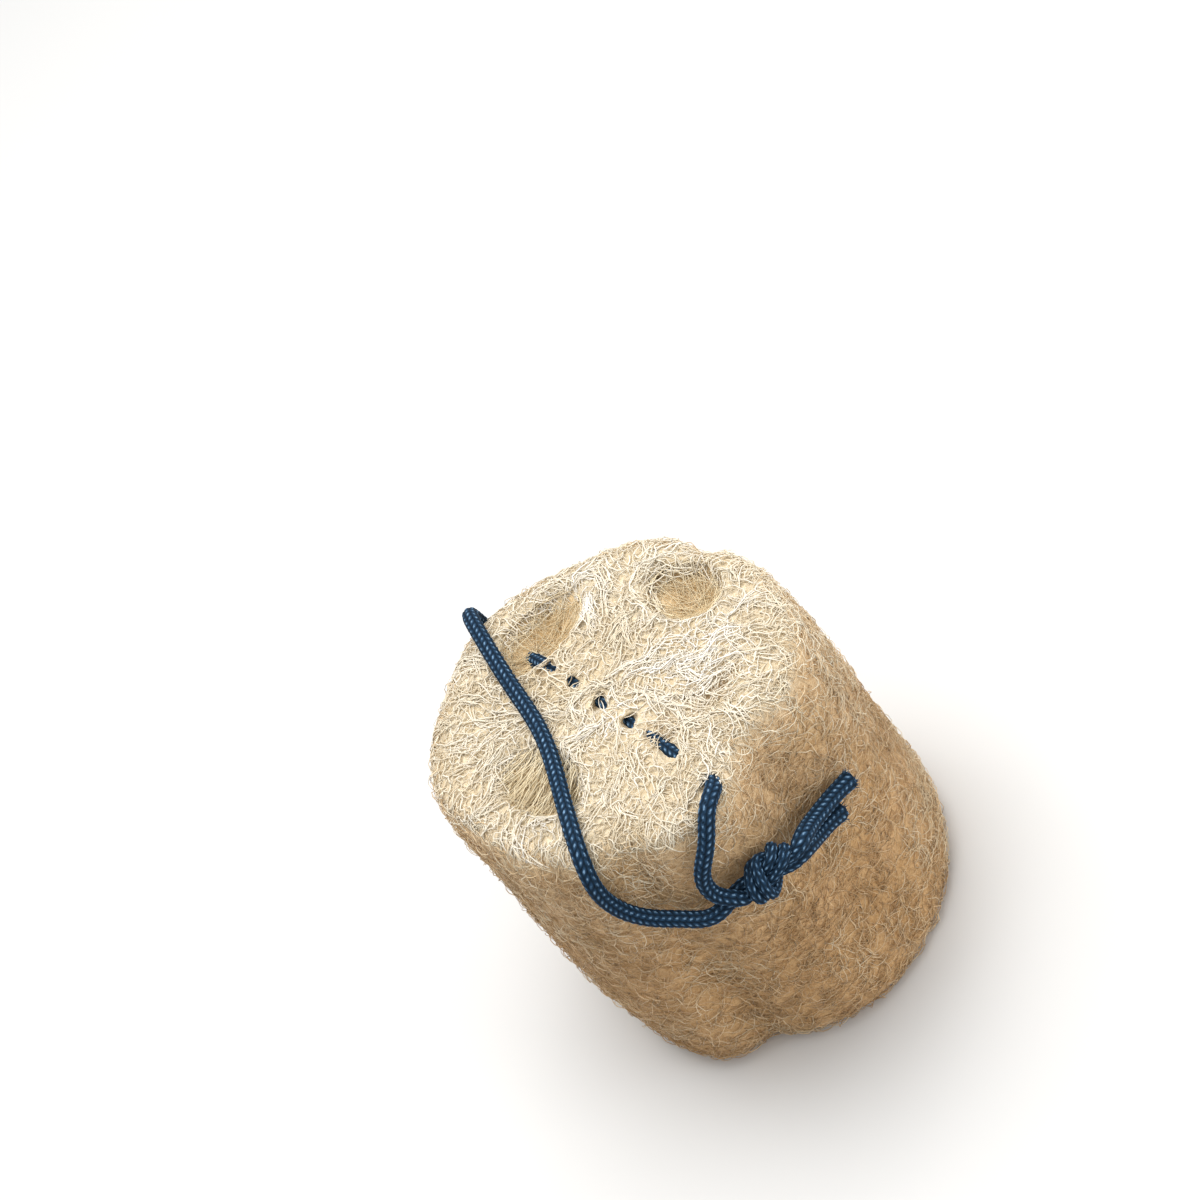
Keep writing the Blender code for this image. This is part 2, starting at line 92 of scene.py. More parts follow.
# The cord's route, the same points as in the part
cord = {
    "radius": 2.25,
    "knotRadius": 1.6,
    "longTail": (
        (34.4, -40.6, 66.4), (29.4, -43.0, 68.4), (24.0, -46.4, 70.8), (18.6, -50.4, 73.6),
    ),
    "shortRise": (
        (-7.6, -57.8, 79.2), (-10.2, -56.2, 82.0), (-10.8, -54.8, 86.4), (-8.8, -54.4, 91.4),
        (-4.2, -53.6, 97.2), (1.9, -49.4, 103.3),
    ),
    "inside": (
        (6.4, -42.6, 100.9), (4.9, -32.4, 100.1), (2.1, -21.8, 99.8), (-2.2, -4.0, 99.9),
        (-4.8, 7.0, 99.9), (-8.0, 19.8, 99.9), (-11.4, 34.4, 95.0),
    ),
    "backTurn": (
        (-13.0, 41.6, 92.8), (-15.8, 52.4, 91.6), (-17.0, 57.0, 95.4), (-17.6, 56.6, 100.6),
        (-18.0, 52.4, 104.8),
    ),
    "overFace": (
        (-18.6, 43.0, 106.8), (-19.8, 22.0, 106.4), (-21.0, 0.0, 106.4), (-25.4, -18.0, 106.4),
        (-29.2, -31.6, 106.0), (-31.4, -38.0, 103.4),
    ),
    "downFront": (
        (-32.9, -41.2, 98.6), (-33.2, -42.4, 91.4), (-31.2, -44.0, 84.2), (-26.8, -46.8, 78.8),
        (-21.2, -50.6, 76.2), (-14.4, -55.2, 75.0),
    ),
    "shortTail": (
        (17.4, -50.8, 68.8), (22.4, -47.0, 65.6), (27.4, -43.8, 62.4),
    ),
    "knotMiddle": (3.6, -57.0, 77.4),
    "knotAlong": (0.94, 0.26, -0.18),
    "knotScale": 0.86,
    "knotOut": (0.08, -1.0, 0.0),
    "upperStrand": (
        (-9.5, -1.0, -2.5), (-5.5, -0.5, -2.0), (-2.5, 2.0, -0.5), (1.0, 3.0, 1.5), (4.5, 3.0, 4.0),
        (7.5, 0.0, 3.0), (7.0, -2.0, -0.5), (5.0, -2.5, -4.0), (2.0, -0.5, -5.5), (-1.0, 2.5, -4.0),
        (-4.0, 4.5, -2.5), (-5.0, 4.0, 1.0), (-4.0, 1.0, 4.0), (-1.5, -2.0, 5.0), (2.0, -2.0, 3.0),
        (4.5, 0.5, 1.0), (8.0, 2.0, 0.6), (12.0, 1.6, 1.6),
    ),
    "lowerStrand": (
        (-10.0, -4.5, -2.0), (-6.0, -4.0, -1.0), (-2.5, -2.0, 0.0), (-0.5, 0.5, 3.0), (2.5, 0.5, 5.5),
        (5.0, -2.5, 4.5), (4.5, -4.0, 0.5), (2.5, -4.5, -3.0), (-1.0, -2.0, -4.0), (-4.0, 0.5, -5.0),
        (-7.0, 2.5, -3.0), (-7.5, 1.0, 1.0), (-5.0, -2.0, 2.5), (-1.5, -4.5, 2.0), (1.0, -2.5, -0.5),
        (3.5, 0.0, -2.5), (7.5, 1.0, -3.4), (11.5, 1.0, -3.0),
    ),
    "backExit": (-15.8, 52.4, 91.6),
    "frontExit": (6.6, -42.4, 102.4),
    "knotReach": 11.0,
    "columns": 8,
    "stitch": 1.9,
    "stitchHeight": 0.3,
    "ringStep": 0.42,
    "sides": 32,
    "frayCount": 90,
    "frayThick": (0.12, 0.24),
    "frayReach": (0.5, 1.5),
}


def linear(colour):
    # sRGB numbers from 0 to 255, as linear light
    value = np.array(colour) / 255
    value = np.where(value <= 0.04045, value / 12.92, ((value + 0.055) / 1.055) ** 2.4)
    return (*[float(v) for v in value], 1.0)


# Camera and light

view = {
    "elevation": 46.0,
    "roll": 38.0,
    "target": (0.0, 0.0, 104.0),
    "targetPixel": (611.7, 692.3),
    "distance": 850.0,
    "pixelsPerMm": 3.88,
    "imageSide": 1200,
}


def makeCamera():
    e, r = math.radians(view["elevation"]), math.radians(view["roll"])
    back = Vector((0, -math.cos(e), math.sin(e)))
    right = Vector((1, 0, 0))
    up = back.cross(right)
    imageRight = math.cos(r) * right - math.sin(r) * up
    imageUp = math.sin(r) * right + math.cos(r) * up
    middle = view["imageSide"] / 2
    across = (view["targetPixel"][0] - middle) / view["pixelsPerMm"]
    above = (middle - view["targetPixel"][1]) / view["pixelsPerMm"]
    place = Vector(view["target"]) + back * view["distance"] - imageRight * across - imageUp * above
    data = bpy.data.cameras.new("camera")
    data.sensor_width = 36.0
    data.lens = view["pixelsPerMm"] * view["distance"] / view["imageSide"] * data.sensor_width
    data.clip_start, data.clip_end = 0.05, 20.0
    camera = bpy.data.objects.new("camera", data)
    camera.matrix_world = Matrix((
        (imageRight.x, imageUp.x, back.x, place.x * mm),
        (imageRight.y, imageUp.y, back.y, place.y * mm),
        (imageRight.z, imageUp.z, back.z, place.z * mm),
        (0, 0, 0, 1),
    ))
    bpy.context.scene.collection.objects.link(camera)
    bpy.context.scene.camera = camera
    return imageRight, imageUp, back


studio = {
    "keyWatts": 9.2,
    "keySize": 0.7,
    "fillWatts": 7.0,
    "fillSize": 0.8,
    "world": 0.62,
    "floor": (222, 222, 221),
    "floorSide": 5.0,
}


def makeLamp(name, watts, size, place, colour=(1, 1, 1)):
    data = bpy.data.lights.new(name, "AREA")
    data.energy, data.size, data.color = watts, size, colour
    lamp = bpy.data.objects.new(name, data)
    lamp.location = place
    lamp.rotation_mode = "QUATERNION"
    lamp.rotation_quaternion = (Vector((0, 0, 0.05)) - Vector(place)).to_track_quat("-Z", "Y")
    bpy.context.scene.collection.objects.link(lamp)


def makeStudio(imageRight, imageUp, back):
    # the key comes from the photograph's upper left, above the camera
    key = -0.55 * imageRight + 0.75 * imageUp + 0.6 * back
    key.z = max(key.z, 0.46)
    makeLamp("key", studio["keyWatts"], studio["keySize"], tuple(key.normalized() * 0.95), (1, 0.99, 0.98))
    fill = 0.95 * imageRight + 0.1 * imageUp + 0.45 * back
    fill.z = 0.2
    makeLamp("fill", studio["fillWatts"], studio["fillSize"], tuple(fill.normalized() * 1.3))
    world = bpy.data.worlds.new("studio")
    world.use_nodes = True
    world.node_tree.nodes["Background"].inputs["Color"].default_value = (1, 1, 1, 1)
    world.node_tree.nodes["Background"].inputs["Strength"].default_value = studio["world"]
    bpy.context.scene.world = world
    bpy.context.scene.view_settings.view_transform = "Standard"
    bpy.ops.mesh.primitive_plane_add(size=studio["floorSide"])
    floor = bpy.context.object
    floor.name = "floor"
    paper, _, shader = startMaterial("paper", 0.9, 0.1)
    shader.inputs["Base Color"].default_value = linear(studio["floor"])
    floor.data.materials.append(paper)


# Materials


def feed(tree, socket, value):
    # a number or another node's output
    if isinstance(value, float):
        socket.default_value = value
    else:
        tree.links.new(value, socket)


def addNode(tree, kind, **inputs):
    node = tree.nodes.new(kind)
    for name, value in inputs.items():
        feed(tree, node.inputs[name.replace("_", " ")], value)
    return node


def addRamp(tree, source, stops):
    ramp = addNode(tree, "ShaderNodeValToRGB", Fac=source)
    band = ramp.color_ramp
    while len(band.elements) < len(stops):
        band.elements.new(0.5)
    for element, (place, colour) in zip(band.elements, stops):
        element.position = place
        element.color = linear(colour)
    return ramp.outputs["Color"]


def addNoise(tree, place, scale, detail, twist=0.0):
    noise = addNode(tree, "ShaderNodeTexNoise", Vector=place, Scale=scale, Detail=detail, Distortion=twist)
    return noise.outputs["Fac"]


def addAttribute(tree, name):
    attribute = addNode(tree, "ShaderNodeAttribute")
    attribute.attribute_name = name
    return attribute.outputs["Fac"]


def addPlace(tree):
    return addNode(tree, "ShaderNodeTexCoord").outputs["Object"]


def addBump(tree, shader, height, strength, distance):
    bump = addNode(tree, "ShaderNodeBump", Height=height, Strength=strength, Distance=distance)
    tree.links.new(bump.outputs["Normal"], shader.inputs["Normal"])


def startMaterial(name, roughness, specular):
    material = bpy.data.materials.new(name)
    material.use_nodes = True
    tree = material.node_tree
    shader = tree.nodes["Principled BSDF"]
    shader.inputs["Roughness"].default_value = roughness
    shader.inputs["Specular IOR Level"].default_value = specular
    return material, tree, shader


def addSheen(shader):
    # the finest hairs catch the light along the outline
    shader.inputs["Sheen Weight"].default_value = 0.42
    shader.inputs["Sheen Roughness"].default_value = 0.38
    shader.inputs["Sheen Tint"].default_value = linear((255, 244, 224))


def heightShare(tree, place, low, high):
    # 0 below the low level and 1 above the high one
    level = addNode(tree, "ShaderNodeSeparateXYZ", Vector=place).outputs["Z"]
    share = addNode(tree, "ShaderNodeMapRange", Value=level, From_Min=low * mm, From_Max=high * mm)
    return share.outputs["Result"]


def mixColour(tree, kind, first, second, share=1.0):
    mix = addNode(tree, "ShaderNodeMix")
    mix.data_type, mix.blend_type = "RGBA", kind
    for name, value in (("Factor", share), ("A", first), ("B", second)):
        feed(tree, mix.inputs[name], value)
    return mix.outputs["Result"]


def addMaths(tree, operation, *values):
    maths = addNode(tree, "ShaderNodeMath")
    maths.operation = operation
    for socket, value in zip(maths.inputs, values):
        feed(tree, socket, value)
    return maths.outputs["Value"]


def addPatches(tree, place, colour, scale, detail, darkest):
    stops = ((0.3, darkest), (0.7, (255, 255, 255)))
    return mixColour(tree, "MULTIPLY", colour, addRamp(tree, addNoise(tree, place, scale, detail), stops))


def tintAndShadeLow(tree, place, colour, lowTintAndShade):
    # the wall is browner and darker towards its foot: partly its own colour, partly painted shade
    stops = ((0.0, lowTintAndShade), (1.0, (255, 255, 255)))
    return mixColour(tree, "MULTIPLY", colour, addRamp(tree, heightShare(tree, place, 50.0, 101.0), stops))


def fibreMaterial(name, stops, patchColour, patchScale, lowTintAndShade=None):
    # each fibre has its own tone, and the whole has paler and darker patches
    material, tree, shader = startMaterial(name, 0.62, 0.3)
    colour = addRamp(tree, addAttribute(tree, "tone"), stops)
    place = addPlace(tree)
    colour = addPatches(tree, place, colour, patchScale, 3.0, patchColour)
    # towards the foot the fibres get a browner colour and painted shade
    if lowTintAndShade:
        colour = tintAndShadeLow(tree, place, colour, lowTintAndShade)
    tree.links.new(colour, shader.inputs["Base Color"])
    addBump(tree, shader, addNoise(tree, place, 2600.0, 2.0), 0.3, 0.0001)
    addSheen(shader)
    return material


def feltLines(tree, place, scale, width):
    # thin curling lines: where a twisted noise passes its middle value
    noise = addNoise(tree, place, scale, 1.5, 1.2)
    away = addMaths(tree, "ABSOLUTE", addMaths(tree, "SUBTRACT", noise, 0.5))
    return addMaths(tree, "MULTIPLY_ADD", away, -1.0 / width, 1.0)


def mattMaterial(name, wallStops, faceStops, lowTintAndShade):
    # felted fibres under the loose ones, tan on the wall and paler on the cut face
    material, tree, shader = startMaterial(name, 0.85, 0.15)
    place = addPlace(tree)
    coarse, fine = feltLines(tree, place, 420.0, 0.05), feltLines(tree, place, 760.0, 0.07)
    lines = addMaths(tree, "MAXIMUM", coarse, fine)
    # the wall's felt is browner towards the foot and carries painted shade there
    wallColour = tintAndShadeLow(tree, place, addRamp(tree, lines, wallStops), lowTintAndShade)
    faceColour = addRamp(tree, lines, faceStops)
    colour = mixColour(tree, "MIX", wallColour, faceColour, heightShare(tree, place, 95.0, 103.0))
    colour = addPatches(tree, place, colour, 70.0, 4.0, (232, 226, 214))
    tree.links.new(colour, shader.inputs["Base Color"])
    addBump(tree, shader, lines, 0.4, 0.00015)
    addSheen(shader)
    return material


def braidMaterial():
    # painted shade in the gaps between the stitches, and light streaks on their crowns: partly light yarns,
    # partly painted highlight
    material, tree, shader = startMaterial("navy_braid", 0.75, 0.1)
    # from painted shade in the gaps to the lit navy of the crowns
    stops = ((0.0, (5, 14, 24)), (0.3, (17, 35, 51)), (0.7, (31, 56, 80)), (1.0, (46, 76, 104)))
    base = addRamp(tree, addAttribute(tree, "crown"), stops)
    yarn = addNoise(tree, addPlace(tree), 1300.0, 3.0)
    # light streaks on the crowns, partly light yarn and partly painted highlight
    lit = addMaths(tree, "MULTIPLY", yarn, addAttribute(tree, "fleck_and_highlight"))
    light = addRamp(tree, lit, ((0.26, (0, 0, 0)), (0.52, (112, 138, 160))))
    tree.links.new(mixColour(tree, "ADD", base, light), shader.inputs["Base Color"])
    addBump(tree, shader, yarn, 0.5, 0.00012)
    return material


# Shape of the sponge


def turnFrom(angle, centre):
    return (angle - centre + 180) % 360 - 180


def wallRadius(angle, rise):
    # rise is 0 at the base and 1 at the cut face
    radius = np.full(np.broadcast(angle, rise).shape, form["radius"])
    for centre, depthTop, depthBase, halfWidth in form["hollows"]:
        depth = depthBase + (depthTop - depthBase) * np.clip(rise, 0, 1) ** 1.3
        radius = radius - depth * np.exp(-((turnFrom(angle, centre) / halfWidth) ** 2))
    centre, height, halfWidth = form["lobe"]
    radius = radius + height * np.exp(-((turnFrom(angle, centre) / halfWidth) ** 2))
    side = 0.5 - 0.5 * np.cos(np.radians(angle))
    belly = np.sin(math.pi * np.clip(rise, 0, 1))
    radius = radius + belly * (form["rightBulge"] + (form["leftBulge"] - form["rightBulge"]) * side)
    radius = radius + form["baseSpread"] * (1 - rise) * np.exp(-((turnFrom(angle, 325) / 45) ** 2))
    for centre, height, halfWidth, middle, reach in form["swells"]:
        spread = (turnFrom(angle, centre) / halfWidth) ** 2 + ((rise - middle) / reach) ** 2
        radius = radius + height * np.exp(-spread)
    return radius + 0.7 * np.sin(np.radians(3 * angle + 40) + 5 * rise) * np.sin(6.5 * rise + 0.6)


def holeSpot(x, y, hole):
    # x and y in a hole's own frame, as complex numbers, and its turn
    turn = np.exp(1j * math.radians(hole.get("turn", 0)))
    return (x + 1j * y - complex(*hole["centre"])) / turn, turn


def reachOf(x, y, hole):
    # 1 on the edge of a channel or pocket, less inside, more outside
    spot, _ = holeSpot(x, y, hole)
    return np.hypot(spot.real / hole["half"][0], spot.imag / hole["half"][1])


def faceRelief(x, y):
    relief = 0.8 * np.cos(x / 11 + 0.7) * np.cos(y / 13)
    for hole in channels.values():
        reach = np.maximum(reachOf(x, y, hole), 1)
        relief = relief - form["mouthSink"] * np.exp(-(((reach - 1) / 0.3) ** 2))
        relief = relief + 1.1 * np.exp(-(((reach - 1.65) / 0.25) ** 2))
    for hole in pockets.values():
        reach = np.maximum(reachOf(x, y, hole), 1)
        relief = relief - 1.6 * np.exp(-(((reach - 1) / 0.35) ** 2))
    return relief


def outlineRadius(x, y, rise=1.0):
    # the wall's radius in the direction of x and y
    return wallRadius(np.degrees(np.arctan2(y, x)) % 360, rise)


def faceHeight(x, y):
    rho = np.clip(np.hypot(x, y) / outlineRadius(x, y), 0, 0.985)
    level = (1 - rho ** form["rim"]) ** (1 / form["rim"])
    inner = np.clip((0.93 - rho) / 0.12, 0, 1)
    return (form["height"] + form["trim"]) / 2 * (1 + level) - form["trim"] + faceRelief(x, y) * inner


def shellPoint(angle, rho, level, lift):
    # a point of the outside, lifted along its normal; rho and level are shares of the reach and half height
    side, end = rho ** (form["rim"] - 1), np.sign(level) * np.abs(level) ** (form["rim"] - 1)
    length = np.hypot(side, end)
    radius = rho * wallRadius(angle, (level + 1) / 2) + lift * side / length
    height = (form["height"] + form["trim"]) * (level + 1) / 2 - form["trim"] + lift * end / length
    turn = np.radians(angle)
    return np.stack([radius * np.cos(turn), radius * np.sin(turn), height], axis=-1)


def wallPoint(angle, z, lift):
    level = np.clip(2 * (z + form["trim"]) / (form["height"] + form["trim"]) - 1, -0.975, 0.978)
    return shellPoint(angle, (1 - np.abs(level) ** form["rim"]) ** (1 / form["rim"]), level, lift)


def pushOut(x, y, hole, least):
    # points inside a hole move out to its edge
    middle = complex(*hole["centre"])
    spot = middle + (x + 1j * y - middle) * np.maximum(least / np.maximum(reachOf(x, y, hole), 0.05), 1)
    return spot.real, spot.imag


def facePoint(x, y, lift):
    # a point of the cut face; it slides off the rim and into the channels' mouths
    limit = 0.97 * outlineRadius(x, y)
    far = np.maximum(np.hypot(x, y) / limit, 1)
    x, y = x / far, y / far
    drop = (far - 1) * limit * 0.9
    for hole in channels.values():
        inside = np.maximum(1.04 - np.maximum(reachOf(x, y, hole), 0.05), 0)
        x, y = pushOut(x, y, hole, 1.04)
        drop = drop + np.minimum(inside * hole["half"][1] * 1.6, 9)
    return np.stack([x, y, faceHeight(x, y) + lift - drop], axis=-1)


def channelPoint(hole, around, z, inset):
    # a point of a channel's wall, inset towards its middle; around is in radians
    mouth = np.exp(-(((form["height"] - z) / 7) ** 2)) + 0.6 * np.exp(-((z / 6) ** 2))
    grow = form["flare"] * mouth - inset
    oval = (hole["half"][0] + grow) * np.cos(around) + 1j * (hole["half"][1] + grow) * np.sin(around)
    spot = complex(*hole["centre"]) + np.exp(1j * math.radians(hole["turn"])) * oval
    return np.stack([spot.real, spot.imag, z], axis=-1)


# The matted body under the loose fibres

matted = {
    "cells": 72,
    "sink": 0.9,
    "bumpHeight": 0.16,
    "channelSides": 40,
    "channelRings": 50,
    "cordPits": (
        ((-11.4, 28.6), (1.6, 2.2)), ((-9.5, 20.8), (3.2, 3.6)), ((-6.5, 11.2), (2.2, 2.8)),
        ((-4.2, -0.6), (3.0, 3.4)), ((-1.0, -12.0), (2.6, 3.2)), ((2.5, -27.2), (4.0, 5.4)),
        ((5.0, -44.8), (3.2, 3.4)),
    ),
    "pitDepth": 4.4,
    "pitSlant": 0.95,
}


def ripple(p, seed, scale):
    # soft noise out of a few crossing waves
    rng = np.random.default_rng(seed)
    total = np.zeros(p.shape[:-1])
    for wave in range(6):
        direction = rng.normal(size=3)
        direction /= np.linalg.norm(direction)
        turns = p @ direction * (2 * math.pi / scale) * rng.uniform(0.7, 1.5)
        total += np.sin(turns + rng.uniform(0, 6.28))
    return total / 3


def addPiece(name, mesh, material, node):
    piece = bpy.data.objects.new(name, mesh)
    bpy.context.scene.collection.objects.link(piece)
    mesh.materials.clear()
    mesh.materials.append(material)
    mesh.shade_smooth()
    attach(piece, "root")
    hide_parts(node)
    return piece


def finishShape(name, shape, spots):
    for vertex, spot in zip(shape.verts, spots):
        vertex.co = spot * mm
    mesh = bpy.data.meshes.new(name)
    shape.to_mesh(mesh)
    shape.free()
    return mesh


def bodyShell():
    shell = bmesh.new()
    bmesh.ops.create_cube(shell, size=2)
    cuts = matted["cells"] - 1
    bmesh.ops.subdivide_edges(shell, edges=shell.edges[:], cuts=cuts, use_grid_fill=True)
    x, y, z = np.array([v.co[:] for v in shell.verts]).T
    u, v = x * np.sqrt(1 - y**2 / 2), y * np.sqrt(1 - x**2 / 2)
    reach = np.hypot(u, v)
    angle = np.degrees(np.arctan2(v, u)) % 360
    squeeze = (reach ** form["rim"] + np.abs(z) ** form["rim"]) ** (-1 / form["rim"])
    rho, level = reach * squeeze, z * squeeze
    place = shellPoint(angle, rho, level, 0.0)
    relief = faceRelief(place[:, 0], place[:, 1]) * np.clip((0.93 - rho) / 0.12, 0, 1)
    relief *= np.clip(np.sign(level) * np.abs(level) ** (form["rim"] - 1), 0, 1)
    bumps = ripple(place, 4, 3.4) + 0.6 * ripple(place, 5, 2.1)
    place = shellPoint(angle, rho, level, -matted["sink"] - matted["bumpHeight"] * bumps)
    place[:, 2] = np.maximum(place[:, 2] + relief, 0.45)
    return finishShape("matted_body", shell, place)


def channelCutter(name, hole):
    pipe, sides = bmesh.new(), matted["channelSides"]
    bmesh.ops.create_cone(pipe, cap_ends=True, segments=sides, radius1=1, radius2=1, depth=2)
    upright = [edge for edge in pipe.edges if abs(edge.verts[0].co.z - edge.verts[1].co.z) > 1]
    bmesh.ops.subdivide_edges(pipe, edges=upright, cuts=matted["channelRings"])
    x, y, z = np.array([v.co[:] for v in pipe.verts]).T
    z = form["height"] / 2 + z * (form["height"] / 2 + 8)
    place = channelPoint(hole, np.arctan2(y, x), z, 0.0)
    rough = 0.5 * ripple(place, 8, 4.0) + 0.6 * ripple(place, 9, 11.0)
    return finishShape(name, pipe, channelPoint(hole, np.arctan2(y, x), z, rough - 1.0))


def pitCutter(name, centre, half, depth, slant=0.0):
    ball = bmesh.new()
    bmesh.ops.create_uvsphere(ball, u_segments=28, v_segments=20, radius=1)
    x, y, z = np.array([v.co[:] for v in ball.verts]).T
    level = form["height"] + 1 + z * depth
    # an uneven outline, different for each
    around = np.arctan2(y, x)
    grow = 1 + 0.16 * np.sin(2 * around + centre[1]) + 0.14 * np.sin(3 * around + 2 * centre[1])
    back = slant * (form["height"] - level)
    return finishShape(name, ball, np.stack([
        centre[0] + grow * x * half[0], centre[1] + grow * y * half[1] + back, level,
    ], axis=-1))


def makeMattedBody(material):
    body = addPiece("matted_body", bodyShell(), material, "loofah")
    cutters = bpy.data.collections.new("cutters")
    bpy.context.scene.collection.children.link(cutters)
    meshes = [channelCutter(name, hole) for name, hole in channels.items()]
    for name, hole in pockets.items():
        meshes.append(pitCutter(name, hole["centre"], hole["half"], hole["depth"]))
    for number, (centre, half) in enumerate(matted["cordPits"]):
        meshes.append(pitCutter(f"cord_pit_{number}", centre, half, matted["pitDepth"], matted["pitSlant"]))
    for mesh in meshes:
        cutter = bpy.data.objects.new(mesh.name, mesh)
        cutters.objects.link(cutter)
        step = body.modifiers.new("cut", "BOOLEAN")
        step.operation, step.solver, step.object = "DIFFERENCE", "MANIFOLD", cutter
    bpy.context.view_layer.update()
    cut = bpy.data.meshes.new_from_object(body.evaluated_get(bpy.context.evaluated_depsgraph_get()))
    body.modifiers.clear()
    body.data = cut
    cut.materials.clear()
    cut.materials.append(material)
    cut.shade_smooth()
    for cutter in list(cutters.objects):
        bpy.data.objects.remove(cutter, do_unlink=True)
    bpy.data.collections.remove(cutters)
    print("matted_body", len(cut.polygons), "faces")


# Fibres


def tubeSides(rings, sides, start=0):
    # the faces between the rings of a tube, from its first vertex on
    a, b = np.arange(sides), (np.arange(sides) + 1) % sides
    ring = start + np.arange(rings - 1)[:, None] * sides
    return np.stack([ring + a, ring + b, ring + sides + b, ring + sides + a], axis=-1).reshape(-1, 4)


def ringTubes(paths, radii, sides):
    # vertices and faces of closed tapered tubes; paths is fibres x points x 3, in millimetres
    count, points = paths.shape[:2]
    ahead = np.gradient(paths, axis=1)
    ahead /= np.maximum(np.linalg.norm(ahead, axis=2, keepdims=True), 1e-9)
    helper = np.zeros_like(ahead)
    helper[..., 2] = 1
    steep = np.abs(ahead[..., 2]) > 0.8
    helper[steep] = (1, 0, 0)
    across = np.cross(ahead, helper)
    across /= np.linalg.norm(across, axis=2, keepdims=True)
    above = np.cross(across, ahead)
    spin = 2 * math.pi * np.arange(sides) / sides
    ring = across[:, :, None] * np.cos(spin)[:, None] + above[:, :, None] * np.sin(spin)[:, None]
    vertices = (paths[:, :, None] + ring * radii[:, :, None, None]).reshape(-1, 3)
    start = np.arange(count)[:, None] * points * sides
    corners = np.arange(sides)
    caps = np.concatenate([start + corners[::-1], start + (points - 1) * sides + corners], axis=0)
    return vertices, tubeSides(points, sides, start[:, None]), caps


def meshFrom(name, vertices, faceSets):
    mesh = bpy.data.meshes.new(name)
    mesh.vertices.add(len(vertices))
    mesh.vertices.foreach_set("co", (vertices * mm).astype(np.float32).ravel())
    corners = np.concatenate([faces.ravel() for faces in faceSets]).astype(np.int32)
    sizes = np.concatenate([np.full(len(faces), faces.shape[1]) for faces in faceSets])
    mesh.loops.add(len(corners))
    mesh.loops.foreach_set("vertex_index", corners)
    mesh.polygons.add(len(sizes))
    mesh.polygons.foreach_set("loop_start", (np.cumsum(sizes) - sizes).astype(np.int32))
    mesh.update(calc_edges=True)
    mesh.validate()
    return mesh


def addLayer(mesh, title, values):
    layer = mesh.attributes.new(title, "FLOAT", "POINT")
    layer.data.foreach_set("value", np.concatenate(values).astype(np.float32))


def fibreMesh(name, groups):
    # groups of (paths, radii, sides, tone) become one mesh
    vertices, quads, caps, tones, offset = [], [], [], [], 0
    for paths, radii, sides, tone in groups:
        spots, sideFaces, capFaces = ringTubes(paths, radii, sides)
        vertices.append(spots)
        quads.append(sideFaces + offset)
        caps.append(capFaces + offset)
        tones.append(np.repeat(tone, paths.shape[1] * sides))
        offset += len(spots)
    mesh = meshFrom(name, np.concatenate(vertices), [*quads, *caps])
    addLayer(mesh, "tone", tones)
    return mesh


def addFibres(name, groups, material, node="loofah"):
    mesh = fibreMesh(name, groups)
    addPiece(name, mesh, material, node)
    print(name, len(mesh.polygons), "faces")


def curl(rng, start, points, step, bend, sway):
    # surface paths that curl: start direction in radians, then turns that drift along the fibre
    count = len(start)
    drift = rng.normal(0, bend, (count, 1)) + rng.normal(0, sway, (count, points))
    heading = start[:, None] + np.cumsum(drift, axis=1)
    return np.cumsum(step * np.cos(heading), axis=1), np.cumsum(step * np.sin(heading), axis=1)


def archOf(rng, count, points, low, high):
    # a lift that starts and ends low, under the matted surface, and stands up in between
    t = np.linspace(0, 1, points)
    top = rng.uniform(*high, (count, 1))
    return low + (top - low) * np.sin(math.pi * t) ** 0.7 + rng.normal(0, 0.12, (count, points))


def taper(rng, count, points, thick):
    t = np.linspace(0, 1, points)
    return rng.uniform(*thick, (count, 1)) * (0.62 + 0.38 * np.sin(math.pi * t)) / 2


wall = {
    "bands": {
        "wall_fibres_low": (0.0, 35.0),
        "wall_fibres_middle": (35.0, 70.0),
        "wall_fibres_high": (70.0, 103.0),
    },
    "fibresPerBand": 4500,
    "points": 6,
    "step": 1.6,
    "thick": (0.15, 0.3),
    "lean": 1.6,
    "leanScale": 46.0,
    "scatter": 0.75,
    "bend": 0.2,
    "sway": 0.42,
    "root": -1.2,
    "lift": (-0.75, 0.3),
    "loose": 0.24,
    "looseLift": (0.3, 1.0),
    "rimPale": 0.35,
    # painted light: a paler right side of the wall
    "rightPaintedLight": 0.3,
    "clusterPale": 0.22,
    "seed": 21,
}


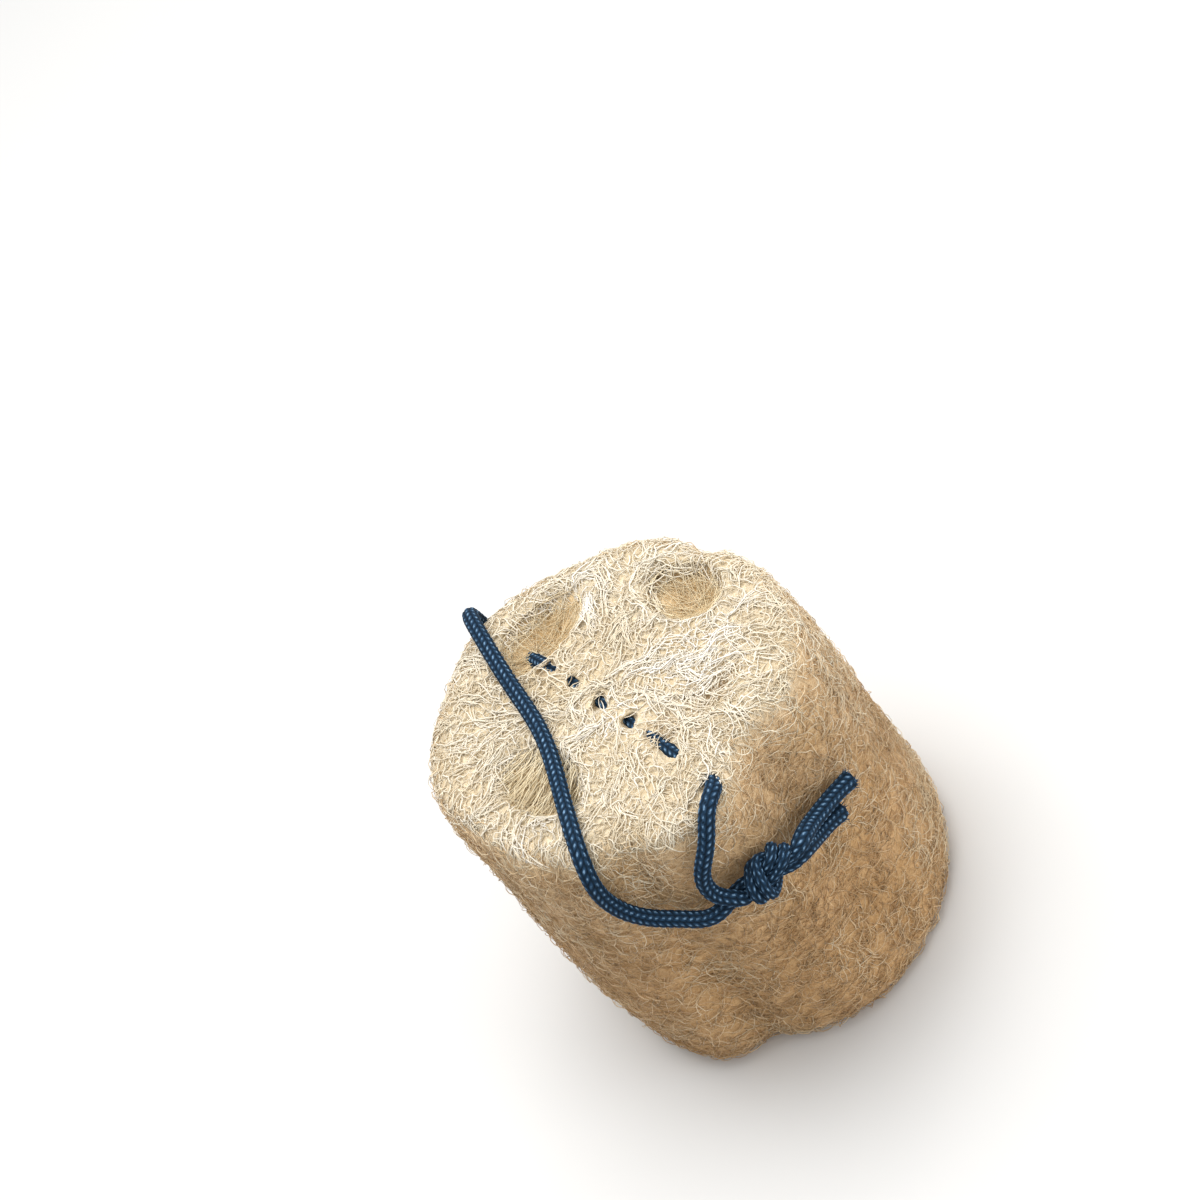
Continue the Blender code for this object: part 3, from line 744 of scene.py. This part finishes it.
def wallFibres(rng, low, high, count):
    angle = rng.uniform(0, 360, count)
    z = rng.uniform(low, high, count)
    spot = wallPoint(angle, z, 0.0)
    points = wall["points"]
    lean = wall["lean"] * ripple(spot, 31, wall["leanScale"]) + rng.normal(0, wall["scatter"], count)
    around, rise = curl(rng, lean, points, wall["step"], wall["bend"], wall["sway"])
    middle = points // 2
    around, rise = around - around[:, middle : middle + 1], rise - rise[:, middle : middle + 1]
    lift = archOf(rng, count, points, wall["root"], wall["lift"])
    loose = rng.uniform(0, 1, count) < wall["loose"]
    extra = rng.uniform(*wall["looseLift"], (loose.sum(), 1))
    lift[loose] += extra * np.sin(np.linspace(0, math.pi, points))
    heights = np.clip(z[:, None] + rise, 0.9, form["height"] - 1.1)
    paths = wallPoint(angle[:, None] + np.degrees(around / form["radius"]), heights, lift)
    radii = taper(rng, count, points, wall["thick"])
    paths[..., 2] = np.maximum(paths[..., 2], 0.3)
    # paler towards the cut face and in clusters, and paler on the right side as painted light
    tone = rng.uniform(0, 1, count) ** 1.1 + wall["rimPale"] * np.clip((z - 90) / 13, 0, 1)
    tone += wall["rightPaintedLight"] * np.exp(-((turnFrom(angle, 350) / 40) ** 2))
    tone += wall["clusterPale"] * ripple(spot, 33, 26.0)
    return paths, radii, 3, np.clip(tone, 0, 1)


def makeWallFibres(material):
    rng = np.random.default_rng(wall["seed"])
    for name, (low, high) in wall["bands"].items():
        addFibres(name, [wallFibres(rng, low, high, wall["fibresPerBand"])], material)


face = {
    "centre": (1.0, 2.0),
    "calm": 7.0,
    "edge": 0.985,
    "fineCount": 2600,
    "finePoints": 6,
    "fineStep": 1.4,
    "fineThick": (0.16, 0.32),
    "bundleCount": 250,
    "bundle": 4,
    "bundleSpread": 0.75,
    # centre, spread and number of the bundles in the white tuft
    "tuft": ((8.2, 36.0), 2.4, 12),
    "strandPoints": 10,
    "strandStep": 1.8,
    "strandThick": (0.17, 0.42),
    # each net: cell size, strand points, tube sides, thickness, lift, longest strand
    "nets": ((3.0, 6, 3, (0.22, 0.44), (-0.6, 0.4), 7.5), (2.3, 5, 3, (0.16, 0.32), (-1.5, -0.4), 5.5)),
    "netKept": 0.8,
    "netWarp": (1.5, 9.0),
    # whiter places: centre and half width
    "bright": (((8.2, 36.5), 5.5), ((22.0, -5.0), 12.0), ((-3.0, -9.0), 7.0), ((-33.0, -22.0), 6.0)),
    "seed": 52,
}


def faceFlow(x, y):
    # direction of the strands on the cut face: round the mouths, and outwards between them
    away = x + 1j * y - complex(*face["centre"])
    flow = away / np.maximum(np.abs(away), 1)
    for hole in [*channels.values(), *pockets.values()]:
        spot, turn = holeSpot(x, y, hole)
        out = turn * (spot.real / hole["half"][0] ** 2 + 1j * spot.imag / hole["half"][1] ** 2)
        tangent = 1j * out / np.maximum(np.abs(out), 1e-6)
        same = np.sign((np.conj(tangent) * flow).real + 1e-9)
        weight = 2.2 * np.exp(-(((reachOf(x, y, hole) - 1.05) / 0.4) ** 2))
        flow = flow + weight * same * tangent
    return np.angle(flow) + 0.45 * ripple(np.stack([x, y, 0 * x], axis=-1), 61, 17.0)


def faceStarts(rng, count):
    # even over the cut face, outside the channels
    kept = np.zeros((0, 2))
    while len(kept) < count:
        spots = rng.uniform(-55, 55, (count * 2, 2))
        x, y = spots.T
        ok = np.hypot(x, y) < face["edge"] * outlineRadius(x, y)
        for hole in channels.values():
            ok &= reachOf(x, y, hole) > 1.0
        kept = np.concatenate([kept, spots[ok]])
    return kept[:count]


def flowPaths(rng, starts, points, step, spread, sway, bundle=1):
    # paths that follow the flow of the cut face; those of one bundle share their lean and wobble
    spot = starts[:, 0] + 1j * starts[:, 1]
    bundles = len(spot) // bundle
    flip = np.repeat(np.where(rng.uniform(0, 1, bundles) < 0.5, math.pi, 0), bundle)
    lean = np.repeat(rng.normal(0, spread, bundles), bundle)
    wobble, spots = 0, [spot]
    for _ in range(points - 1):
        shared = np.repeat(rng.normal(0, sway, bundles), bundle)
        wobble = 0.7 * wobble + shared + (rng.normal(0, 0.35 * sway, len(spot)) if bundle > 1 else 0)
        heading = faceFlow(spot.real, spot.imag) + flip + lean + wobble
        spot = spot + step * np.exp(1j * heading)
        spots.append(spot)
    spots = np.stack(spots, 1)
    return spots.real, spots.imag


def pitReach(x, y, pits):
    # least reach over the windows that show the cord
    reach = np.full(np.shape(x), 9.0)
    for centre, half in pits:
        reach = np.minimum(reach, np.hypot((x - centre[0]) / half[0], (y - centre[1]) / half[1]))
    return reach.min(axis=1)


def clearOfPits(rng, x, y, kept):
    # most fibres keep off the windows that show the cord, and all of them off the front two
    off = pitReach(x, y, matted["cordPits"]) > 0.66
    offFront = pitReach(x, y, matted["cordPits"][-2:]) > 0.66
    return off | (offFront & (rng.uniform(0, 1, len(x)) < kept))


def brightTone(rng, x, y):
    tone = rng.uniform(0, 0.6, len(x))
    for centre, width in face["bright"]:
        tone += 0.7 * np.exp(-((x[:, 0] - centre[0]) ** 2 + (y[:, 0] - centre[1]) ** 2) / width**2)
    return np.clip(tone, 0, 1)


def cellNet(rng, size, points, bow):
    # strands along the edges between random cells: each joins the middles of two neighbouring triangles
    spots = []
    for row, y in enumerate(np.arange(-56, 56, size * 0.87)):
        spots += [(x + (size / 2 if row % 2 else 0), y) for x in np.arange(-56, 56, size)]
    spots = np.array(spots) + rng.uniform(-0.46 * size, 0.46 * size, (len(spots), 2))
    spots, _, triangles = delaunay_2d_cdt([Vector(spot) for spot in spots], [], [], 0, 1e-6)[:3]
    corners = np.array([complex(*spot) for spot in spots])[np.array(triangles)]
    b, c = corners[:, 1] - corners[:, 0], corners[:, 2] - corners[:, 0]
    doubled = 2 * (np.conj(b) * c).imag
    doubled = np.where(np.abs(doubled) < 1e-6, 1e-6, doubled)
    nodes = corners[:, 0] + (np.abs(b) ** 2 * c - np.abs(c) ** 2 * b) / (1j * doubled)
    owners, joints = {}, []
    for number, triangle in enumerate(triangles):
        for k in range(3):
            side = tuple(sorted((triangle[k], triangle[(k + 1) % 3])))
            if side in owners:
                joints.append((owners[side], number))
            owners[side] = number
    joints = np.array(joints)
    first, last = nodes[joints].T[..., None]
    t = np.linspace(0, 1, points)
    swing = rng.normal(0, bow, (len(joints), 1)) * np.sin(math.pi * t)
    swing += rng.normal(0, 0.04, (len(joints), points))
    swing[:, [0, -1]] = 0
    strands = first + (last - first) * (t + 1j * swing)
    return strands.real, strands.imag, joints, rng.uniform(0, 1, len(nodes))


def netGroup(rng, size, points, sides, thick, lift, longest):
    x, y, joints, nodeLift = cellNet(rng, size, points, 0.28)
    amount, scale = face["netWarp"]
    spot = np.stack([x, y, 0 * x], axis=-1)
    x, y = x + amount * ripple(spot, 63, scale), y + amount * ripple(spot, 64, scale)
    kept = (np.hypot(x, y) < face["edge"] * outlineRadius(x, y)).all(axis=1)
    kept &= np.hypot(x[:, -1] - x[:, 0], y[:, -1] - y[:, 0]) < longest
    for hole in channels.values():
        kept &= (reachOf(x, y, hole) > 0.98).all(axis=1)
    kept &= clearOfPits(rng, x, y, 0.12) & (rng.uniform(0, 1, len(x)) < face["netKept"])
    x, y, joints = x[kept], y[kept], joints[kept]
    t = np.linspace(0, 1, points)
    level = lift[0] + (lift[1] - lift[0]) * nodeLift
    raised = level[joints[:, :1]] * (1 - t) + level[joints[:, 1:]] * t + rng.normal(0, 0.08, x.shape)
    radii = rng.uniform(*thick, (len(x), 1)) / 2 * (1 + 0.3 * (2 * t - 1) ** 2)
    return facePoint(x, y, raised), radii, sides, brightTone(rng, x, y)


def flowGroup(rng, x, y, kept, lift, thick, sides):
    # kept is the share of the strands that may cross the cord's windows
    clear = clearOfPits(rng, x, y, kept)
    x, y = x[clear], y[clear]
    paths = facePoint(x, y, archOf(rng, *x.shape, *lift))
    return paths, taper(rng, *x.shape, thick), sides, brightTone(rng, x, y)


def makeFaceFibres(fineMaterial, strandMaterial):
    rng = np.random.default_rng(face["seed"])
    upper, lower = (netGroup(rng, *net) for net in face["nets"])
    addFibres("face_net_upper", [upper], strandMaterial)
    addFibres("face_net_lower", [lower], fineMaterial)
    starts = faceStarts(rng, face["fineCount"])
    x, y = flowPaths(rng, starts, face["finePoints"], face["fineStep"], 1.2, 0.6)
    fine = flowGroup(rng, x, y, 0.12, (-1.4, (-0.7, 0.35)), face["fineThick"], 3)
    addFibres("face_fibres", [fine], fineMaterial)
    count, bundle = face["bundleCount"], face["bundle"]
    starts = faceStarts(rng, 2 * count)
    away = np.hypot(*(starts - face["centre"]).T)
    middle, spread, extra = face["tuft"]
    starts = np.vstack([starts[away > face["calm"]][:count], rng.normal(middle, spread, (extra, 2))])
    starts = np.repeat(starts, bundle, axis=0)
    starts = starts + rng.normal(0, face["bundleSpread"], starts.shape)
    x, y = flowPaths(rng, starts, face["strandPoints"], face["strandStep"], 0.4, 0.28, bundle)
    strands = flowGroup(rng, x, y, 0.14, (-1.7, (-0.5, 0.6)), face["strandThick"], 4)
    addFibres("face_strands", [strands], strandMaterial)


bridge = {
    "count": 110,
    "points": 10,
    "thick": (0.16, 0.36),
    "start": 11.0,
    "spread": 0.28,
    "reach": (15, 25),
    "sag": (0.2, 2.2),
}


def bridges(rng):
    # long thin fibres stretched over the left channel, away from the middle of the cut face
    middle = complex(*channels["channel_left"]["centre"])
    count, points = bridge["count"], bridge["points"]
    begin = rng.uniform(-1, 1, count)
    t = np.linspace(0, 1, points)
    outward = np.angle(middle - complex(*face["centre"]))
    start = middle + bridge["start"] * np.exp(1j * outward) * (1j * begin - 1)
    heading = outward + rng.normal(0, bridge["spread"], count)
    reach = rng.uniform(*bridge["reach"], count)
    spot = start[:, None] + (reach * np.exp(1j * heading))[:, None] * t
    ends = faceHeight(spot.real[:, [0, -1]], spot.imag[:, [0, -1]])
    sag = rng.uniform(*bridge["sag"], (count, 1)) * np.sin(math.pi * t)
    z = ends[:, :1] + (ends[:, 1:] - ends[:, :1]) * t - sag - 0.9
    wobble = rng.normal(0, 0.25, (count, points))
    paths = np.stack([spot.real + wobble, spot.imag - wobble, z], axis=-1)
    return paths, taper(rng, count, points, bridge["thick"]), 4, rng.uniform(0.5, 1, count)


lining = {
    "perChannel": 320,
    "points": 7,
    "step": 1.9,
    "thick": (0.2, 0.34),
    # loose fibres that cross each channel's mouth and make its shallow bowl
    "webCount": 130,
    "webPoints": 6,
    "webThick": (0.12, 0.24),
    "webLow": 1.5,
    "webDeep": 7.0,
    "floorRings": 14,
    "floorSides": 56,
    "floorThick": 0.9,
    "seed": 77,
}


def mouthWeb(rng, hole):
    count, points = lining["webCount"], lining["webPoints"]
    begin = rng.uniform(0, 2 * math.pi, count)
    end = begin + rng.uniform(0.9, 3.6, count)
    t = np.linspace(0, 1, points)
    chord = np.exp(1j * begin)[:, None] * (1 - t) + np.exp(1j * end)[:, None] * t
    chord = chord + rng.normal(0, 0.05, (count, points))
    chord = chord + 1j * rng.normal(0, 0.05, (count, points))
    reach = np.minimum(np.abs(chord), 1.04)
    depth = lining["webDeep"] * (1 - np.minimum(reach, 1) ** 2) + rng.uniform(0, 2.2, (count, 1))
    depth = depth + lining["webLow"]
    edge = channelPoint(hole, np.angle(chord), form["height"] - depth, 0.0)
    middle = np.array([*hole["centre"], 0.0])
    paths = middle + (edge - middle) * reach[..., None]
    paths[..., 2] = form["height"] - depth
    # where each fibre is seen against the cut face
    kept = clearOfPits(rng, paths[..., 0], paths[..., 1] - matted["pitSlant"] * depth, 0.1)
    paths = paths[kept]
    return paths, taper(rng, len(paths), points, lining["webThick"]), 3, rng.uniform(0.3, 1, len(paths))


def bowlFloor(name, hole):
    # a closed skin of felt under the web; its edge is sunk in the channel's wall
    rings, sides = lining["floorRings"], lining["floorSides"]
    around = 2 * math.pi * np.arange(sides) / sides
    reach = np.linspace(0.04, 1.0, rings)[:, None]
    depth = lining["webLow"] + 1.2 + lining["webDeep"] * (1 - reach**2) + 0 * around
    edge = channelPoint(hole, around + 0 * reach, form["height"] - depth, -1.2)
    middle = np.array([*hole["centre"], 0.0])
    top = middle + (edge - middle) * reach[..., None]
    top[..., 2] = form["height"] - depth + 0.35 * ripple(top, 14, 3.6) + 0.3 * ripple(top, 15, 2.2)
    bottom = top - np.array([0.0, 0.0, lining["floorThick"]])
    spots = np.concatenate([top.reshape(-1, 3), bottom.reshape(-1, 3)])
    a, b = np.arange(sides), (np.arange(sides) + 1) % sides
    upper = np.roll(tubeSides(rings, sides)[:, ::-1], 1, axis=1)
    under = upper[:, ::-1] + rings * sides
    last = (rings - 1) * sides
    rim = np.stack([last + a, last + a + rings * sides, last + b + rings * sides, last + b], -1)
    caps = np.stack([a, a[::-1] + rings * sides])
    return meshFrom(name, spots, [upper, under, rim, caps])


def makeChannelFibres(material, floorMaterial):
    rng = np.random.default_rng(lining["seed"])
    for name, hole in channels.items():
        addPiece(f"{name}_floor", bowlFloor(f"{name}_floor", hole), floorMaterial, "loofah")
    groups = []
    for hole in channels.values():
        count, points = lining["perChannel"], lining["points"]
        around = rng.uniform(0, 2 * math.pi, count)
        # more of them near the mouths, where they show
        z = form["height"] * rng.uniform(0, 1, count) ** 0.6
        lean = math.pi / 2 + rng.normal(0, 0.9, count)
        sideways, rise = curl(rng, lean, points, lining["step"], 0.1, 0.3)
        girth = (hole["half"][0] + hole["half"][1]) / 2
        heights = np.clip(z[:, None] + rise, 1.0, form["height"] - 1.5)
        inset = archOf(rng, count, points, -1.5, (-0.6, 0.4)) - 0.4
        paths = channelPoint(hole, around[:, None] + sideways / girth, heights, inset)
        groups.append((paths, taper(rng, count, points, lining["thick"]), 3, rng.uniform(0.3, 1, count)))
        groups.append(mouthWeb(rng, hole))
    groups.append(bridges(rng))
    addFibres("channel_fibres", groups, material)


under = {
    "count": 420,
    "points": 7,
    "step": 2.0,
    "thick": (0.3, 0.5),
    "seed": 88,
}


def makeBaseFibres(material):
    # flat on the surface that the sponge stands on, and never under it
    rng = np.random.default_rng(under["seed"])
    count, points = under["count"], under["points"]
    starts = faceStarts(rng, count) * 0.93
    x, y = curl(rng, rng.uniform(0, 2 * math.pi, count), points, under["step"], 0.12, 0.35)
    x, y = starts[:, :1] + x, starts[:, 1:] + y
    far = np.maximum(np.hypot(x, y) / (0.9 * outlineRadius(x, y, 0.0)), 1)
    x, y = x / far, y / far
    for hole in channels.values():
        x, y = pushOut(x, y, hole, 1.18)
    z = 0.28 + rng.uniform(0, 0.35, (count, 1)) + 0 * x
    paths = np.stack([x, y, z], axis=-1)
    group = (paths, taper(rng, count, points, under["thick"]), 3, rng.uniform(0, 1, count))
    addFibres("base_fibres", [group], material)


# The cord


def smoothRoute(points, steps=12):
    # a natural cubic spline through the points, measured by the distance between them
    points = np.asarray(points, dtype=float)
    count = len(points)
    span = np.linalg.norm(np.diff(points, axis=0), axis=1)
    slope = np.diff(points, axis=0) / span[:, None]
    system, target = np.eye(count), np.zeros((count, 3))
    for i in range(1, count - 1):
        system[i, i - 1 : i + 2] = span[i - 1], 2 * (span[i - 1] + span[i]), span[i]
        target[i] = 6 * (slope[i] - slope[i - 1])
    bend = np.linalg.solve(system, target)
    stretches = []
    for i in range(count - 1):
        t = np.linspace(0, span[i], steps, endpoint=False)[:, None]
        start = slope[i] - span[i] * (2 * bend[i] + bend[i + 1]) / 6
        twist = (bend[i + 1] - bend[i]) / (6 * span[i])
        stretches.append(points[i] + start * t + bend[i] / 2 * t**2 + twist * t**3)
    return np.vstack(stretches + [points[-1:]])


def knotStrand(local):
    along = np.array(cord["knotAlong"]) / np.linalg.norm(cord["knotAlong"])
    out = np.array(cord["knotOut"]) - np.dot(cord["knotOut"], along) * along
    out /= np.linalg.norm(out)
    across = np.cross(along, out)
    across *= np.sign(across[2])
    return np.array(cord["knotMiddle"]) + cord["knotScale"] * np.array(local) @ np.stack([along, out, across])


def cordRoute():
    upper, lower = knotStrand(cord["upperStrand"]), knotStrand(cord["lowerStrand"])
    parts = [cord["longTail"], upper[::-1], cord["shortRise"], cord["inside"], cord["backTurn"]]
    parts += [cord["overFace"], cord["downFront"], lower, cord["shortTail"]]
    dense = smoothRoute(np.vstack([np.array(part) for part in parts]))
    along = np.concatenate([[0], np.cumsum(np.linalg.norm(np.diff(dense, axis=0), axis=1))])
    wanted = np.linspace(0, along[-1], int(along[-1] / cord["ringStep"]))
    return np.stack([np.interp(wanted, along, dense[:, k]) for k in range(3)], 1), wanted


def transport(route):
    # directions along the route, and across it without a twist
    ahead = np.gradient(route, axis=0)
    ahead /= np.linalg.norm(ahead, axis=1, keepdims=True)
    side, sides = np.cross(ahead[0], (0, 0, 1)), []
    for direction in ahead:
        side = side - np.dot(side, direction) * direction
        side = side / np.linalg.norm(side)
        sides.append(side)
    return ahead, np.array(sides), np.cross(ahead, sides)


def braidMesh(name, route, along, radii, stretches):
    # a tube whose surface is the braid: columns of slanting stitches that lean left and right in turn
    vertices, quads, caps, crowns, flecksAndHighlights, offset = [], [], [], [], [], 0
    sides = cord["sides"]
    spin = 2 * math.pi * np.arange(sides) / sides
    _, sideways, above = transport(route)
    column = spin * cord["columns"] / (2 * math.pi)
    number, across = np.floor(column), column % 1 - 0.5
    lean = np.where(number % 2 == 0, 1, -1)
    for first, last in stretches:
        part = slice(first, last)
        phase = along[part, None] / cord["stitch"] + lean * across * 0.75 + 0.25 * (number % 2)
        lengthwise = np.abs(np.cos(math.pi * phase)) ** 0.7
        crown = lengthwise * (1 - (2 * np.abs(across)) ** 2.2 * 0.75)
        radius = radii[part, None] + cord["stitchHeight"] * (crown - 0.75)
        ring = sideways[part, None] * np.cos(spin)[:, None] + above[part, None] * np.sin(spin)[:, None]
        spots = route[part, None] + ring * radius[..., None]
        rings, corners = len(spots), offset + np.arange(sides)
        quads.append(tubeSides(rings, sides, offset))
        caps += [corners[None, ::-1], corners[None] + (rings - 1) * sides]
        vertices.append(spots.reshape(-1, 3))
        # the crown's height also sets the painted shade of the gaps in the material
        crowns.append(crown.ravel())
        # a light streak along the middle of each stitch: partly light yarn, partly painted highlight
        flecksAndHighlights.append((lengthwise**2 * (1 - 2 * np.abs(across))).ravel())
        offset += rings * sides
    mesh = meshFrom(name, np.concatenate(vertices), [*quads, *caps])
    addLayer(mesh, "crown", crowns)
    addLayer(mesh, "fleck_and_highlight", flecksAndHighlights)
    return mesh


def frayedEnds(route, radii):
    # short yarns that stand out of the two cut ends
    rng = np.random.default_rng(13)
    frames = np.stack(transport(route), axis=1)
    groups = []
    for place, outwards in ((0, -1), (len(route) - 1, 1)):
        count, points = cord["frayCount"], 4
        spin = rng.uniform(0, 2 * math.pi, (count, 1))
        reach = radii[place] * np.sqrt(rng.uniform(0.15, 0.9, (count, 1)))
        t = np.linspace(0, 1, points)
        length = rng.uniform(*cord["frayReach"], (count, 1))
        out = reach * (1 + 0.3 * t) + rng.normal(0, 0.06, (count, points))
        local = np.stack([outwards * (length * t - 0.6), out * np.cos(spin), out * np.sin(spin)], axis=-1)
        paths = route[place] + local @ frames[place]
        groups.append((paths, taper(rng, count, points, cord["frayThick"]), 3, rng.uniform(0, 1, count)))
    return groups


def makeCord(material, yarnMaterial):
    route, along = cordRoute()
    apart = np.linalg.norm(route - np.array(cord["knotMiddle"]), axis=1)
    blend = np.clip((apart - 6) / 5, 0, 1)
    radii = cord["knotRadius"] + (cord["radius"] - cord["knotRadius"]) * blend
    fromEnd = np.minimum(along, along[-1] - along)
    # the two tails are looser, most of all at their cut ends
    radii = radii * (1 + 0.1 * np.clip((32 - fromEnd) / 8, 0, 1) + 0.08 * np.exp(-((fromEnd / 3) ** 2)))
    inKnot = np.flatnonzero(apart < cord["knotReach"])
    jump = inKnot[np.flatnonzero(np.diff(inKnot) > 200)[0]]
    upperEnd, lowerStart = jump, inKnot[inKnot > jump][0]
    front = int(np.argmin(np.linalg.norm(route - np.array(cord["frontExit"]), axis=1)))
    back = int(np.argmin(np.linalg.norm(route - np.array(cord["backExit"]), axis=1)))

    def piece(name, stretches):
        return addPiece(name, braidMesh(name, route, along, radii, stretches), material, "cord")

    knot = piece("cord_knot", [(0, upperEnd + 1), (lowerStart, len(route))])
    short = piece("cord_short", [(upperEnd, front + 1)])
    piece("cord_inside", [(front, back + 1)])
    loop = piece("cord_loop", [(back, lowerStart + 1)])
    addFibres("cord_ends", frayedEnds(route, radii), yarnMaterial, "cord")


print("camera and light")
makeStudio(*makeCamera())

print("materials")
wallMaterial = fibreMaterial(
    "wall_fibre",
    ((0.0, (206, 174, 132)), (0.4, (225, 199, 159)), (0.7, (250, 230, 196)), (1.0, (255, 248, 228))),
    # the last colour is the browner foot with painted shade
    (232, 226, 216), 45.0, (232, 220, 204),
)
bowlMaterial = fibreMaterial(
    "bowl_fibre",
    ((0.0, (230, 208, 168)), (1.0, (254, 243, 214))),
    (238, 232, 220), 60.0,
)
faceMaterial = fibreMaterial(
    "face_fibre",
    ((0.0, (228, 215, 190)), (0.5, (240, 231, 212)), (1.0, (252, 248, 239))),
    (240, 234, 222), 60.0,
)
strandMaterial = fibreMaterial(
    "face_strand",
    ((0.0, (238, 229, 208)), (0.5, (248, 242, 229)), (1.0, (255, 254, 251))),
    (244, 239, 230), 60.0,
)
feltMaterial = mattMaterial(
    "matted_fibre",
    ((0.0, (208, 174, 131)), (0.5, (220, 188, 147)), (1.0, (236, 210, 170))),
    ((0.0, (214, 198, 168)), (0.5, (224, 210, 182)), (1.0, (240, 230, 209))),
    # the browner foot of the wall, with painted shade
    (232, 220, 204),
)
bowlStops = ((0.0, (212, 184, 140)), (0.5, (226, 199, 156)), (1.0, (243, 221, 182)))
bowlFelt = mattMaterial("bowl_felt", bowlStops, bowlStops, (255, 255, 255))
navy = braidMaterial()
yarnMaterial = fibreMaterial(
    "navy_yarn",
    ((0.0, (22, 42, 62)), (0.7, (40, 68, 96)), (1.0, (84, 114, 142))),
    (220, 220, 220), 60.0,
)

print("cord")
makeCord(navy, yarnMaterial)
makeMattedBody(feltMaterial)
makeWallFibres(wallMaterial)
makeFaceFibres(faceMaterial, strandMaterial)
makeChannelFibres(bowlMaterial, bowlFelt)
makeBaseFibres(wallMaterial)
